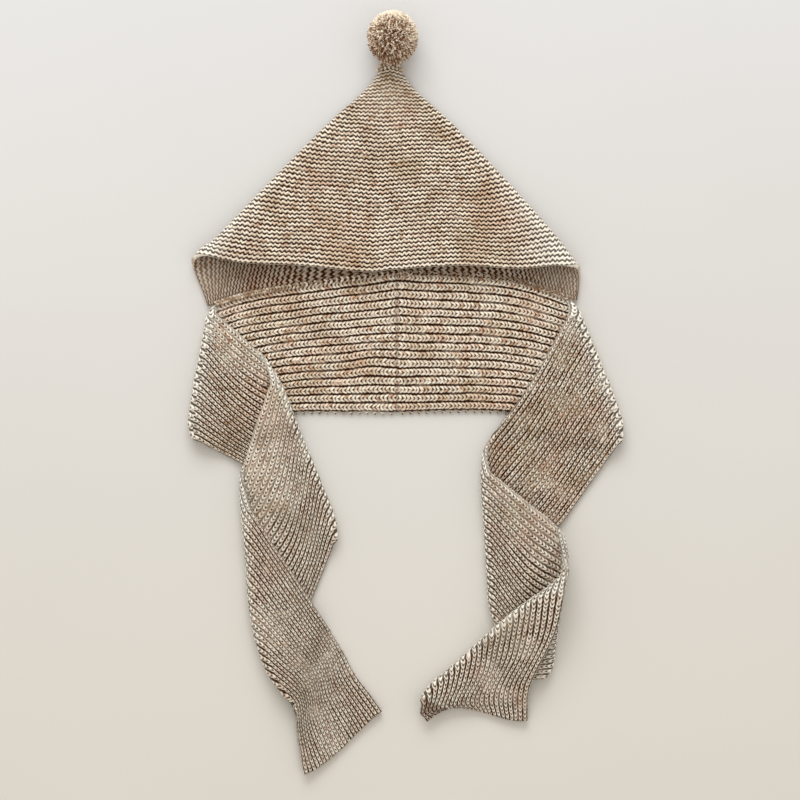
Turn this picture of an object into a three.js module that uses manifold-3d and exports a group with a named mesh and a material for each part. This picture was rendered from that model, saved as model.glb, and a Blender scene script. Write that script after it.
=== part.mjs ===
// A hand-knitted pixie hood, laid flat as it lies on a table. The garter-stitch hood is
// folded at its crown and seamed up the back, a long ribbed scarf is sewn to its neck edge
// and makes the two ties, and a trimmed pompom is tied to the peak.
// Millimetres, +Z up, the peak towards +Y, the table at Z = 0.

import * as THREE from 'three';
import { mergeVertices } from 'three/addons/utils/BufferGeometryUtils.js';
import Module from 'manifold-3d';

const wasm = await Module();
wasm.setup();

// Driving dimensions
const crownLength = 191; // peak to the middle of the face edge, along the crown fold
const backSeamLength = 193; // peak to the nape, up the back of the hood
const hoodReach = 175; // middle of the hood to each side corner
const peakOffset = 6.4; // the peak lies this far to the left of the nape
const hoodWall = 4;
const mouthLift = 18; // how far the front panel stands off the back one at the corners
const leftBow = 1.8; // how far the side folds stand out halfway up
const rightBow = 3.6;
const chinBulge = 2.6; // how far the face edge stands out below each side corner
const scarfWidth = 105;
const tieLength = 620; // middle of the scarf to each end
const scarfWall = 4.5;
const seamWidth = 5;
const seamHeight = 3;
const pompomWidth = 48;
const pompomLength = 51;
const pompomHeight = 45;
const neckWidth = 6.4; // yarn neck between the peak and the pompom
const clearance = 0.3;

// How the scarf lies. Each row is a section across it, from its middle outwards:
// run: mid-line from the row before, a share of tieLength; heading: its direction, degrees
// from +X; slant: direction of the section from the free edge to the hood-side edge;
// span: length of the section, a share of scarfWidth; bowHood, bowFree: how far it stands
// out along the heading a third from either edge, shares of that length; fold: the scarf
// turns over here; loft: how much more than its wall a fold stands open, a share of
// scarfWall; riseHood, riseFree: height of the two edges above the lie, of scarfWall.
const flat = { bowHood: 0, bowFree: 0, fold: false, loft: 0, riseHood: 0, riseFree: 0 };
const section = (run, heading, slant, span, more = {}) => ({
  ...flat,
  ...{ run, heading, slant, span },
  ...more,
});
const middleSection = section(0, 0, 90, 1.22);
const leftTie = [
  middleSection,
  section(0.143, 184, 91, 1.1),
  section(0.086, 189, 89, 1.09),
  section(0.072, 196, 80.5, 1.12, { bowFree: 0.012, fold: true, loft: 1.1 }),
  section(0.099, -33, 98.5, 1.23, { riseHood: 0.3 }),
  section(0.103, -37, 112, 1.49, { fold: true, loft: 0.5, riseHood: 0.4 }),
  section(0.108, -111, 108.5, 1.57),
  section(0.113, -110, 101, 1.77, { bowFree: 0.058, fold: true, loft: 1.2, riseHood: 0.2 }),
  section(0.142, -55, 64.5, 0.73, { riseFree: 1.2 }),
  section(0.061, -70, 51.5, 0.76, { riseFree: 1.3 }),
  section(0.062, -65, 39, 0.87, { bowHood: -0.01, bowFree: 0.05, riseHood: 0.3, riseFree: 0.8 }),
];
const rightTie = [
  middleSection,
  section(0.166, -2, 89, 1.15),
  section(0.142, -13, 111, 1.22, { bowFree: 0.01, fold: true, loft: 0.9 }),
  section(0.157, -123, 103, 1.24, { riseHood: 0.3 }),
  section(0.095, -128.5, 100.5, 1.23, { riseHood: 0.6 }),
  section(0.0615, -119.5, 93.5, 1.35, { fold: true, loft: 0.6, riseHood: 1 }),
  section(0.078, -42, 84, 1.27, { riseHood: 2.6 }),
  section(0.055, -38, 79, 1.135, { riseHood: 3.2 }),
  section(0.031, -68, 82.5, 1.025, { fold: true, loft: 0.4, riseHood: 3.4 }),
  section(0.103, 193, 37, 1.62, {
    ...{ bowHood: 0.045, bowFree: -0.01, fold: true, loft: 0.6, riseHood: 3.4, riseFree: 0.3 },
  }),
  section(0.051, -98, 28, 1.32, { riseHood: 1.4, riseFree: 0.9 }),
  section(0.0475, -113, 14, 0.99, { riseHood: 0.6, riseFree: 1 }),
  section(0.034, -86, 0.5, 0.87, { bowHood: 0.02, bowFree: -0.15, riseHood: 0.4, riseFree: 1 }),
];

// The face edge of the front panel, from the crown fold to the side corner. across: a share
// of hoodReach; lift: how much nearer the peak than the crown fold's end, of crownLength.
const leftFaceEdge = [
  { across: 0, lift: 0 },
  { across: 0.13, lift: -0.01 },
  { across: 0.47, lift: 0.02 },
  { across: 0.74, lift: 0.03 },
  { across: 0.92, lift: 0.053 },
  { across: 1.02, lift: 0.053 },
];
const rightFaceEdge = [
  { across: 0, lift: 0 },
  { across: 0.37, lift: 0.02 },
  { across: 0.69, lift: 0.005 },
  { across: 0.9, lift: 0.03 },
  { across: 0.99, lift: 0.038 },
];

// Steps of the faceted surfaces
const rowSpacing = scarfWidth / 6;
const bendSteps = 4;
const strips = 10; // cells across the scarf
const neckSteps = 12; // cells along each half of the neck edge
const panelSteps = 8; // cells across each half of a hood panel

const polar = (length, degrees) => {
  const angle = THREE.MathUtils.degToRad(degrees);
  return new THREE.Vector2(Math.cos(angle), Math.sin(angle)).multiplyScalar(length);
};
const smooth = (x) => THREE.MathUtils.smoothstep(x, 0, 1);

// A closed wall from points that each carry an outer and an inner place. The outer faces
// are given, the inner ones are their mirror, and every open edge gets a side wall.
function thicken(points, faces) {
  const count = points.length;
  const kept = faces.filter(([a, b, c]) => a !== b && b !== c && c !== a);
  const index = kept.flatMap(([a, b, c]) => [a, b, c, c + count, b + count, a + count]);
  const edges = new Set(kept.flatMap(([a, b, c]) => [`${a},${b}`, `${b},${c}`, `${c},${a}`]));
  for (const edge of edges) {
    const [a, b] = edge.split(',').map(Number);
    if (!edges.has(`${b},${a}`)) {
      index.push(b, a, a + count, b, a + count, b + count);
    }
  }
  const places = [...points.map((p) => p.outer), ...points.map((p) => p.inner)];
  const geometry = new THREE.BufferGeometry().setFromPoints(places);
  geometry.setIndex(index);
  return geometry;
}

// Two triangles for each cell between a row of point numbers and the next
function cells(rows) {
  const faces = [];
  for (let i = 1; i < rows.length; i += 1) {
    for (let j = 1; j < rows[i].length; j += 1) {
      const [a, b, c, d] = [rows[i - 1][j - 1], rows[i][j - 1], rows[i][j], rows[i - 1][j]];
      faces.push([a, b, c], [a, c, d]);
    }
  }
  return faces;
}

function toSolid(geometry) {
  const bare = geometry.clone();
  bare.deleteAttribute('normal');
  bare.deleteAttribute('uv');
  const merged = mergeVertices(bare);
  return new wasm.Manifold(
    new wasm.Mesh({
      numProp: 3,
      vertProperties: new Float32Array(merged.attributes.position.array),
      triVerts: new Uint32Array(merged.index.array),
    }),
  );
}

function toGeometry(solid) {
  const mesh = solid.getMesh();
  const geometry = new THREE.BufferGeometry();
  geometry.setAttribute('position', new THREE.BufferAttribute(mesh.vertProperties, 3));
  geometry.setIndex(new THREE.BufferAttribute(mesh.triVerts, 1));
  return geometry;
}

// The scarf. A tie is laid out as sections, and cut at its folds into runs that lie one
// over the other in the order in which they were folded.
function layOut(rows) {
  let mid = new THREE.Vector2(0, (-middleSection.span * scarfWidth) / 2);
  return rows.map((row) => {
    mid = mid.clone().add(polar(row.run * tieLength, row.heading));
    const half = polar((row.span * scarfWidth) / 2, row.slant);
    const onwards = polar(1, row.slant + 90);
    onwards.multiplyScalar(Math.sign(onwards.dot(polar(1, row.heading))));
    return {
      ...row,
      hoodEdge: mid.clone().add(half),
      freeEdge: mid.clone().sub(half),
      onwards: onwards.multiplyScalar(row.span * scarfWidth),
    };
  });
}

function runsOf(sections) {
  const runs = [];
  let start = 0;
  sections.forEach((section, i) => {
    if (i > 0 && (section.fold || i === sections.length - 1)) {
      runs.push({ sections: sections.slice(start, i + 1), lines: new Map() });
      start = i;
    }
  });
  return runs;
}

// Plan place at u along a run, 0 to 1, and t across it, 0 at the free edge to 1
function planPlace(run, u, t) {
  if (!run.lines.has(t)) {
    const line = run.sections.map((s) => {
      const bow = (27 / 4) * t * (1 - t) * (t * s.bowHood + (1 - t) * s.bowFree);
      const p = s.freeEdge.clone().lerp(s.hoodEdge, t).addScaledVector(s.onwards, bow);
      return new THREE.Vector3(p.x, p.y, 0);
    });
    run.lines.set(t, new THREE.CatmullRomCurve3(line, false, 'catmullrom', 0.5));
  }
  const p = run.lines.get(t).getPoint(u);
  return new THREE.Vector2(p.x, p.y);
}

function alongRun(run, u, column) {
  const place = u * (run.sections.length - 1);
  const i = Math.min(Math.floor(place), run.sections.length - 2);
  return THREE.MathUtils.lerp(run.sections[i][column], run.sections[i + 1][column], place - i);
}

function distanceToLine(p, a, b) {
  const ab = b.clone().sub(a);
  const share = THREE.MathUtils.clamp(p.clone().sub(a).dot(ab) / ab.lengthSq(), 0, 1);
  return p.distanceTo(a.clone().addScaledVector(ab, share));
}

// How far outside a run's outline a plan point lies, 0 inside it
function distanceOutside(p, outline) {
  let inside = false;
  let nearest = Infinity;
  outline.forEach((a, i) => {
    const b = outline[(i + 1) % outline.length];
    nearest = Math.min(nearest, distanceToLine(p, a, b));
    if (a.y > p.y !== b.y > p.y && p.x < a.x + ((b.x - a.x) * (p.y - a.y)) / (b.y - a.y)) {
      inside = !inside;
    }
  });
  return inside ? 0 : nearest;
}

function outlineOf(run) {
  const steps = 12;
  const shares = Array.from({ length: steps }, (_, i) => i / steps);
  return [
    ...shares.map((share) => planPlace(run, share, 1)),
    ...shares.map((share) => planPlace(run, 1, 1 - share)),
    ...shares.map((share) => planPlace(run, 1 - share, 0)),
    ...shares.map((share) => planPlace(run, 0, share)),
  ];
}

const layerPitch = scarfWall + clearance;
const shoulder = 1.7 * scarfWall; // an upper layer stays up this far past a lower edge
const ramp = 4.5 * scarfWall; // and comes down over this length
const foldReach = 6 * scarfWall; // a fold's extra height dies away over this length

function prepareTie(rows) {
  const runs = runsOf(layOut(rows));
  runs.forEach((run, k) => {
    run.side = k % 2 === 0 ? 1 : -1;
    run.outline = outlineOf(run);
    const turn = run.sections.at(-1);
    if (k < runs.length - 1) {
      const along = turn.hoodEdge.clone().sub(turn.freeEdge).normalize();
      const travel = planPlace(run, 1, 0.5).sub(planPlace(run, 0.95, 0.5));
      const outward = new THREE.Vector2(along.y, -along.x);
      outward.multiplyScalar(Math.sign(outward.dot(travel)));
      run.turn = { outward, radius: (layerPitch + turn.loft * scarfWall) / 2, at: turn };
    }
  });
  return runs;
}

// Height of a run's middle surface where nothing but the lower layers holds it
function lieHeight(runs, k, p) {
  let height = scarfWall / 2;
  for (let j = 0; j < k; j += 1) {
    const past = (distanceOutside(p, runs[j].outline) - shoulder) / ramp;
    height += layerPitch * (1 - smooth(past));
    const { at } = runs[j].turn;
    const reach = distanceToLine(p, at.hoodEdge, at.freeEdge) / foldReach;
    height += at.loft * scarfWall * Math.exp(-reach * reach);
  }
  return height;
}

function edgeRise(run, u, t) {
  const hoodSide = Math.max(0, 2 * t - 1) ** 2 * alongRun(run, u, 'riseHood');
  const freeSide = Math.max(0, 1 - 2 * t) ** 2 * alongRun(run, u, 'riseFree');
  return (hoodSide + freeSide) * scarfWall;
}

// The share of a run, from one of its ends, that holds a length measured off the fold.
// Where two folds nearly meet, the bends share what there is.
function shareFromFold(run, end, t, outward, length) {
  const step = 0.01;
  const mostShare = 0.42;
  const from = end === 1 ? 1 - step : step;
  const slope = planPlace(run, end, t).sub(planPlace(run, from, t)).dot(outward) / step;
  return Math.min(length / Math.abs(slope), mostShare);
}

function wallPoint(plan, height, normal) {
  const middle = new THREE.Vector3(plan.x, plan.y, height);
  return {
    outer: middle.clone().addScaledVector(normal, scarfWall / 2),
    inner: middle.clone().addScaledVector(normal, -scarfWall / 2),
  };
}

// How far the flat part of a run goes on a line along it, between the bends at its folds
function flatShares(runs, k, t) {
  const before = runs[k - 1]?.turn;
  const after = runs[k].turn;
  const bend = (turn, end) => shareFromFold(runs[k], end, t, turn.outward, scarfWall / 2 + turn.radius);
  return [before ? bend(before, 0) : 0, after ? 1 - bend(after, 1) : 1];
}

// The first run has a row at each step of the hood's neck edge
function stepsOf(run, k) {
  const length = planPlace(run, 0, 0.5).distanceTo(planPlace(run, 1, 0.5));
  return k === 0 ? neckSteps - 1 : Math.max(3, Math.round(length / rowSpacing));
}

// Rows of wall points from the middle of the scarf to the end of one tie
function tieRows(runs) {
  const rows = [];
  const shares = Array.from({ length: strips + 1 }, (_, j) => j / strips);
  runs.forEach((run, k) => {
    const after = run.turn;
    const between = shares.map((t) => flatShares(runs, k, t));
    const steps = stepsOf(run, k);
    const up = new THREE.Vector3(0, 0, run.side);
    for (let i = 0; i <= steps; i += 1) {
      rows.push(shares.map((t, j) => {
        const u = THREE.MathUtils.lerp(between[j][0], between[j][1], i / steps);
        const plan = planPlace(run, u, t);
        return wallPoint(plan, lieHeight(runs, k, plan) + edgeRise(run, u, t), up);
      }));
    }
    for (let i = 1; after && i < bendSteps; i += 1) {
      const angle = (Math.PI * i) / bendSteps;
      const below = angle < 1.001 * (Math.PI / 2);
      const normal = new THREE.Vector3(
        -after.outward.x * Math.sin(angle),
        -after.outward.y * Math.sin(angle),
        Math.cos(angle),
      ).multiplyScalar(run.side);
      rows.push(shares.map((t) => {
        const inset = scarfWall / 2 + after.radius * (1 - Math.sin(angle));
        const own = below ? run : runs[k + 1];
        const share = shareFromFold(own, below ? 1 : 0, t, after.outward, inset);
        const u = below ? 1 - share : share;
        const plan = planPlace(own, u, t);
        const lie = lieHeight(runs, below ? k : k + 1, plan) + edgeRise(own, u, t);
        const turned = after.radius * (below ? 1 - Math.cos(angle) : -1 - Math.cos(angle));
        return wallPoint(plan, lie + turned, normal);
      }));
    }
  });
  return rows;
}

const leftRuns = prepareTie(leftTie);
const rightRuns = prepareTie(rightTie);

function scarfGeometry() {
  const left = tieRows(leftRuns).map((row) => row.slice());
  const right = tieRows(rightRuns).slice(1);
  const grid = [...left.reverse(), ...right];
  const width = strips + 1;
  const numbers = grid.map((row, i) => row.map((_, j) => i * width + j));
  return thicken(grid.flat(), cells(numbers));
}

// The hood. Both halves share the crown fold and the back seam. Its neck edge follows the
// scarf's edge from the nape to the scarf's first fold, and stands clear of that fold.
function neckPlace(runs, a) {
  const foldShare = flatShares(runs, 0, 1)[1] * (neckSteps / (neckSteps - 1));
  const off = clearance + 0.35 * scarfWall * a ** 8;
  return planPlace(runs[0], Math.min(1, a * foldShare), 1).add(new THREE.Vector2(0, off));
}
const peak = new THREE.Vector2(-peakOffset, backSeamLength);

function panelGap(a, across) {
  const middleShare = 0.45;
  const spread = middleShare + (1 - middleShare) * across * across;
  return hoodWall + clearance + mouthLift * a ** 1.5 * spread;
}

// One half of the hood: a runs from the peak to the face edge, across from the crown fold
// to the side fold, and down from there to the neck edge
function halfHood(faceEdge, runs, towards, bow, points) {
  const line = faceEdge.map((row) => new THREE.Vector3(
    towards * row.across * hoodReach,
    -crownLength * (1 - row.lift),
    0,
  ));
  const edgeCurve = new THREE.CatmullRomCurve3(line, false, 'catmullrom', 0.5);
  const corner = line.at(-1);
  const outward = new THREE.Vector2(-corner.y * towards, corner.x * towards).normalize();
  const frontPlace = (a, across) => {
    const edge = edgeCurve.getPoint(across);
    const place = peak.clone().add(new THREE.Vector2(edge.x, edge.y).multiplyScalar(a));
    return place.addScaledVector(outward, 4 * a * (1 - a) * bow * across);
  };
  const add = (plan, height, normal) => {
    const middle = new THREE.Vector3(plan.x, plan.y, height);
    points.push({
      outer: middle.clone().addScaledVector(normal, hoodWall / 2),
      inner: middle.clone().addScaledVector(normal, -hoodWall / 2),
    });
    return points.length - 1;
  };
  const bottom = hoodWall / 2;
  const up = new THREE.Vector3(0, 0, 1);
  const down = new THREE.Vector3(0, 0, -1);
  const rows = [];
  for (let i = 0; i <= neckSteps; i += 1) {
    const a = i / neckSteps;
    const onFold = frontPlace(a, 1);
    const onNeck = neckPlace(runs, a);
    const back = onNeck.clone().sub(onFold);
    const backPlace = (down) => onFold.clone().addScaledVector(back, down)
      .addScaledVector(outward, chinBulge * a ** 6 * 4 * down * (1 - down));
    const radius = panelGap(a, 1) / 2;
    const row = [];
    if (i > 0) {
      const steep = frontPlace(a, 1).sub(frontPlace(a, 0.99)).dot(outward) / 0.01;
      const acrossAt = (inset) => 1 - inset / steep;
      const downAt = (inset) => inset / -back.dot(outward);
      const flatEnd = acrossAt(hoodWall / 2 + radius);
      const flatStart = downAt(hoodWall / 2 + radius);
      for (let j = 0; j <= panelSteps; j += 1) {
        const across = (flatEnd * j) / panelSteps;
        row.push(add(frontPlace(a, across), bottom + panelGap(a, across), up));
      }
      for (let j = 1; j < bendSteps; j += 1) {
        const angle = (Math.PI * j) / bendSteps;
        const inset = hoodWall / 2 + radius * (1 - Math.sin(angle));
        const onFront = angle < 1.001 * (Math.PI / 2);
        const plan = onFront ? frontPlace(a, acrossAt(inset)) : backPlace(downAt(inset));
        const gap = panelGap(a, onFront ? acrossAt(inset) : 1);
        const side = outward.clone().multiplyScalar(Math.sin(angle));
        const normal = new THREE.Vector3(side.x, side.y, Math.cos(angle));
        row.push(add(plan, bottom + gap - radius * (1 - Math.cos(angle)), normal));
      }
      for (let j = 0; j <= panelSteps; j += 1) {
        row.push(add(backPlace(THREE.MathUtils.lerp(flatStart, 1, j / panelSteps)), bottom, down));
      }
    } else {
      const tip = peak.clone().sub(new THREE.Vector2(0, hoodWall / 2));
      const tipPoint = add(tip, bottom + radius, new THREE.Vector3(0, 1, 0));
      row.push(...Array(panelSteps + bendSteps).fill(tipPoint));
      for (let j = 1; j <= panelSteps + 1; j += 1) {
        row.push(add(peak.clone().lerp(onNeck, j / (panelSteps + 1)), bottom, down));
      }
    }
    rows.push(row);
  }
  return rows;
}

function hoodGeometry() {
  const points = [];
  const left = halfHood(leftFaceEdge, leftRuns, -1, leftBow, points);
  const right = halfHood(rightFaceEdge, rightRuns, 1, rightBow, points);
  const shared = new Map();
  right.forEach((row, i) => shared.set(row[0], left[i][0]));
  right[0].forEach((n, j) => shared.set(n, left[0][j]));
  const merged = right.map((row) => row.map((n) => shared.get(n) ?? n));
  const faces = [...cells(left.map((row) => row.slice().reverse())), ...cells(merged)];
  const used = [...new Set(faces.flat())];
  const renumber = new Map(used.map((n, i) => [n, i]));
  return thicken(used.map((n) => points[n]), faces.map((face) => face.map((n) => renumber.get(n))));
}

// The seam allowance lies as a ridge over the line where hood and scarf meet
function seamGeometry() {
  const stops = [0.93, 0.75, 0.5, 0.25];
  const height = Math.max(scarfWall, hoodWall) + clearance + seamHeight / 2;
  const onNeck = (runs, a) => {
    const p = neckPlace(runs, a);
    return new THREE.Vector3(p.x, p.y, height);
  };
  const route = [
    ...stops.map((a) => onNeck(leftRuns, a)),
    onNeck(leftRuns, 0),
    ...stops.slice().reverse().map((a) => onNeck(rightRuns, a)),
  ];
  const profile = new THREE.Shape();
  profile.absellipse(0, 0, seamHeight / 2, seamWidth / 2, 0, 2 * Math.PI, false, 0);
  return new THREE.ExtrudeGeometry(profile, {
    steps: 2 * neckSteps,
    curveSegments: 4,
    extrudePath: new THREE.CatmullRomCurve3(route),
  });
}

// The pompom: a ball of yarn with its cut ends in locks, flat where it rests, and a yarn
// neck that goes into it and is tied off at the peak of the hood
function pompomSolids() {
  const centre = new THREE.Vector3(
    peak.x + 0.05 * pompomWidth,
    peak.y + 0.44 * pompomLength,
    0.47 * pompomHeight,
  );
  const size = new THREE.Vector3(pompomWidth, pompomLength, pompomHeight);
  const headShare = 0.9;
  const lockCount = 60;
  const lockWidth = 0.2 * pompomWidth;
  const head = new THREE.IcosahedronGeometry(0.5 * headShare, 3).scale(size.x, size.y, size.z);
  let ball = toSolid(head);
  const goldenAngle = Math.PI * (3 - Math.sqrt(5));
  for (let i = 0; i < lockCount; i += 1) {
    const level = 1 - (2 * (i + 0.5)) / lockCount;
    const ring = Math.sqrt(1 - level * level);
    const direction = new THREE.Vector3(
      ring * Math.cos(i * goldenAngle),
      ring * Math.sin(i * goldenAngle),
      level,
    );
    const reach = direction.clone().multiply(size).multiplyScalar(0.5).length();
    const length = 0.3 * reach;
    const lock = new THREE.CylinderGeometry(0.34 * lockWidth, 0.5 * lockWidth, length, 5);
    lock.translate(0, reach - length / 2, 0);
    lock.applyQuaternion(new THREE.Quaternion().setFromUnitVectors(new THREE.Vector3(0, 1, 0), direction));
    ball = ball.add(toSolid(lock));
  }
  ball = ball.translate(centre.toArray());
  const above = new THREE.BoxGeometry(4 * size.x, 4 * size.y, 4 * size.z).translate(centre.x, centre.y, 2 * size.z);
  ball = ball.intersect(toSolid(above));
  const neckHeight = hoodWall / 2 + panelGap(0, 1) / 2;
  const start = peak.y + clearance;
  const neckLength = 0.3 * pompomLength;
  const neck = (grow) => {
    const profile = [
      { along: -grow, width: 0 },
      { along: -grow, width: 0.7 * neckWidth },
      { along: 0.15 * neckLength, width: neckWidth },
      { along: 0.5 * neckLength, width: 0.8 * neckWidth },
      { along: neckLength + grow, width: neckWidth },
      { along: neckLength + grow, width: 0 },
    ].map(({ along, width }) => new THREE.Vector2(width > 0 ? width / 2 + grow : 0, along));
    return new THREE.LatheGeometry(profile, 12).translate(peak.x, start, neckHeight);
  };
  return { pompom: toGeometry(ball.subtract(toSolid(neck(clearance)))), pompomTie: neck(0) };
}

function yarnMaterial(colour) {
  return new THREE.MeshStandardMaterial({ color: colour, roughness: 0.95, metalness: 0 });
}

function namedMesh(name, geometry, colour) {
  const mesh = new THREE.Mesh(geometry, yarnMaterial(colour));
  mesh.name = name;
  return mesh;
}

const group = new THREE.Group();
const { pompom, pompomTie } = pompomSolids();
group.add(namedMesh('hood', hoodGeometry(), 0xb9a68f));
group.add(namedMesh('scarf', scarfGeometry(), 0xae9a82));
group.add(namedMesh('neck_seam', seamGeometry(), 0xcfc1ad));
group.add(namedMesh('pompom', pompom, 0xa58f76));
group.add(namedMesh('pompom_tie', pompomTie, 0x8d7860));

// The natural reference point is the middle of the table under the whole piece
const extent = new THREE.Box3().setFromObject(group);
const centre = extent.getCenter(new THREE.Vector3());
group.position.set(-centre.x, -centre.y, -extent.min.z);
group.updateMatrixWorld(true);

export default group;
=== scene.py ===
"""A hand-knitted pixie hood, laid flat on a pale table and seen from straight above."""
import math

import bpy
import numpy as np
from mathutils import Matrix, Vector


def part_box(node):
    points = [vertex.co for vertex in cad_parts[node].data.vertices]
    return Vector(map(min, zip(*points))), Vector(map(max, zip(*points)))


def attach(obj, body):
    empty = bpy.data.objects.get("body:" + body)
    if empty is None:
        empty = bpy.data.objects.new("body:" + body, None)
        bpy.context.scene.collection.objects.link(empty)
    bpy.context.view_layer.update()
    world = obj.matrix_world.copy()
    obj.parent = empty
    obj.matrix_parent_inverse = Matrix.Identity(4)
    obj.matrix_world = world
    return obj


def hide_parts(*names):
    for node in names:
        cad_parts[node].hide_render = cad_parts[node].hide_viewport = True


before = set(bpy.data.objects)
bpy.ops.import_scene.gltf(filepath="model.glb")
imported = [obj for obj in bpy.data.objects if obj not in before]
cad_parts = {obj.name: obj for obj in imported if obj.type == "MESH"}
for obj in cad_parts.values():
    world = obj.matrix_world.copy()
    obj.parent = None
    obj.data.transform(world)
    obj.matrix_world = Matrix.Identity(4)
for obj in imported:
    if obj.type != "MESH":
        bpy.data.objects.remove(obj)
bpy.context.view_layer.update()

# The view and the table.
# The hood lies on a plain pale table and is seen from straight above, so the camera hangs
# high over it and looks down. One pixel of the 800 by 800 picture is 0.92 mm on the table.
picture_size = 800
pixel = 0.00092
nape_pixel = (397, 272)
tie_low, tie_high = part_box("pompom_tie")
crown_length = 0.191
back_seam = 0.193
hood_reach = 0.175
peak_offset = 0.0064
gap_between_pieces = 0.0003
table_clearance = 0.0001
nape = np.array([
    (tie_low[0] + tie_high[0]) / 2 + peak_offset,
    tie_low[1] - back_seam - gap_between_pieces,
])


def on_photo(x, y):
    """The place on the table that is at pixel x, y of the view."""
    return nape + np.array([(x - nape_pixel[0]) * pixel, (nape_pixel[1] - y) * pixel])


view_middle = on_photo(picture_size / 2, picture_size / 2)
view_height = 4.0
cloth_height = 0.008
film_width = 36
camera_data = bpy.data.cameras.new("camera_above")
camera_data.sensor_width = film_width
camera_data.lens = film_width * (view_height - cloth_height) / (picture_size * pixel)
camera_data.clip_end = 20
camera = bpy.data.objects.new("camera_above", camera_data)
camera.location = (view_middle[0], view_middle[1], view_height)
bpy.context.collection.objects.link(camera)
bpy.context.scene.camera = camera

bpy.ops.object.select_all(action="DESELECT")
bpy.ops.mesh.primitive_plane_add(size=14, location=(0, 0, 0))
table = bpy.context.object
table.name = "table_top"


class Wire:
    """A shader socket that is added, scaled and mixed like a number."""

    def __init__(self, tree, socket):
        self.tree = tree
        self.socket = socket

    def node(self, kind, settings, inputs, output=0):
        made = self.tree.nodes.new(kind)
        for name, value in settings.items():
            setattr(made, name, value)
        for name, value in inputs.items():
            if isinstance(value, Wire):
                self.tree.links.new(value.socket, made.inputs[name])
            else:
                made.inputs[name].default_value = value
        return Wire(self.tree, made.outputs[output])

    def math(self, operation, first, second=0.0):
        return self.node("ShaderNodeMath", {"operation": operation}, {0: first, 1: second})

    def __add__(self, other):
        return self.math("ADD", self, other)

    def __radd__(self, other):
        return self.math("ADD", other, self)

    def __sub__(self, other):
        return self.math("SUBTRACT", self, other)

    def __rsub__(self, other):
        return self.math("SUBTRACT", other, self)

    def __mul__(self, other):
        return self.math("MULTIPLY", self, other)

    def __pow__(self, other):
        return self.math("POWER", self, other)

    def __abs__(self):
        return self.math("ABSOLUTE", self)

    def fract(self):
        return self.math("FRACT", self)

    def cos(self):
        return self.math("COSINE", self)

    def clamp(self):
        return self.node("ShaderNodeClamp", {}, {"Value": self})

    def ramp(self, low, high):
        """0 below low, 1 above high, smooth between."""
        return self.node(
            "ShaderNodeMapRange",
            {"interpolation_type": "SMOOTHSTEP"},
            {"Value": self, "From Min": low, "From Max": high, "To Min": 0.0, "To Max": 1.0},
        )

    def noise(self, scale, detail=2.0, rough=0.5):
        return self.node(
            "ShaderNodeTexNoise",
            {},
            {"Vector": self, "Scale": scale, "Detail": detail, "Roughness": rough},
        )

    def part(self, axis):
        return self.node("ShaderNodeSeparateXYZ", {}, {"Vector": self}, axis)

    def vector(self, x, y, z=0.0):
        return self.node("ShaderNodeCombineXYZ", {}, {"X": x, "Y": y, "Z": z})

    def mix(self, first, second):
        """A colour between two, by this wire."""
        return self.node(
            "ShaderNodeMix",
            {"data_type": "RGBA"},
            {"Factor": self, "A": first, "B": second},
            2,
        )

    def mark(self, name):
        """A value that the mesh carries at each place."""
        return self.node("ShaderNodeAttribute", {"attribute_name": name}, {}, 2)

    def bump(self, strength, distance):
        """This wire as relief."""
        return self.node(
            "ShaderNodeBump", {}, {"Strength": strength, "Distance": distance, "Height": self},
        )

    def feed(self, shader, name):
        self.tree.links.new(self.socket, shader.inputs[name])


def linear(red, green, blue):
    """A colour that a screen shows as red, green and blue of 255."""
    shares = [value / 255 for value in (red, green, blue)]
    return (*[s / 12.92 if s < 0.04045 else ((s + 0.055) / 1.055) ** 2.4 for s in shares], 1.0)


def new_material(name):
    """A material and its shader, and as wires the place on the piece and on its cloth."""
    material = bpy.data.materials.new(name)
    material.use_nodes = True
    tree = material.node_tree
    coordinates = tree.nodes.new("ShaderNodeTexCoord")
    place = Wire(tree, coordinates.outputs["Object"])
    cloth = Wire(tree, coordinates.outputs["UV"])
    return material, tree.nodes["Principled BSDF"], place, cloth


def set_inputs(shader, values):
    for name, value in values.items():
        shader.inputs[name].default_value = value


# The table top is matt and off-white, with a very faint mottle, and its near end is
# painted a little warmer: painted warm light.
table_paint, shader, there, _ = new_material("pale_table")
mottle = there.noise(2.2, 3.0)
near_end_warm_light = mottle.mix(linear(219, 214, 204), linear(225, 220, 210))
far_end = mottle.mix(linear(216, 215, 213), linear(224, 223, 221))
there.part(1).ramp(-0.42, 0.5).mix(near_end_warm_light, far_end).feed(shader, "Base Color")
set_inputs(shader, {"Roughness": 0.9, "Specular IOR Level": 0.2})
table.data.materials.append(table_paint)

# The light is one broad soft window beyond the peak, and the bright room all round.
world = bpy.data.worlds.new("bright_room")
world.use_nodes = True
room_light = {"Color": (1.0, 0.968, 0.928, 1.0), "Strength": 0.745}
set_inputs(world.node_tree.nodes["Background"], room_light)
bpy.context.scene.world = world
window = bpy.data.lights.new("window_light", "AREA")
window.shape = "RECTANGLE"
window.size = 2.4
window.size_y = 1.6
window.energy = 60.5
window.color = (0.945, 0.98, 1.03)
window_place = Vector((-0.3, 2.5, 1.7))
lit_place = Vector((0, 0.1, 0))
lamp = bpy.data.objects.new("window_light", window)
lamp.location = window_place
lamp.rotation_euler = (lit_place - window_place).to_track_quat("-Z", "Y").to_euler()
bpy.context.collection.objects.link(lamp)
bpy.context.scene.view_settings.view_transform = "Standard"
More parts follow.
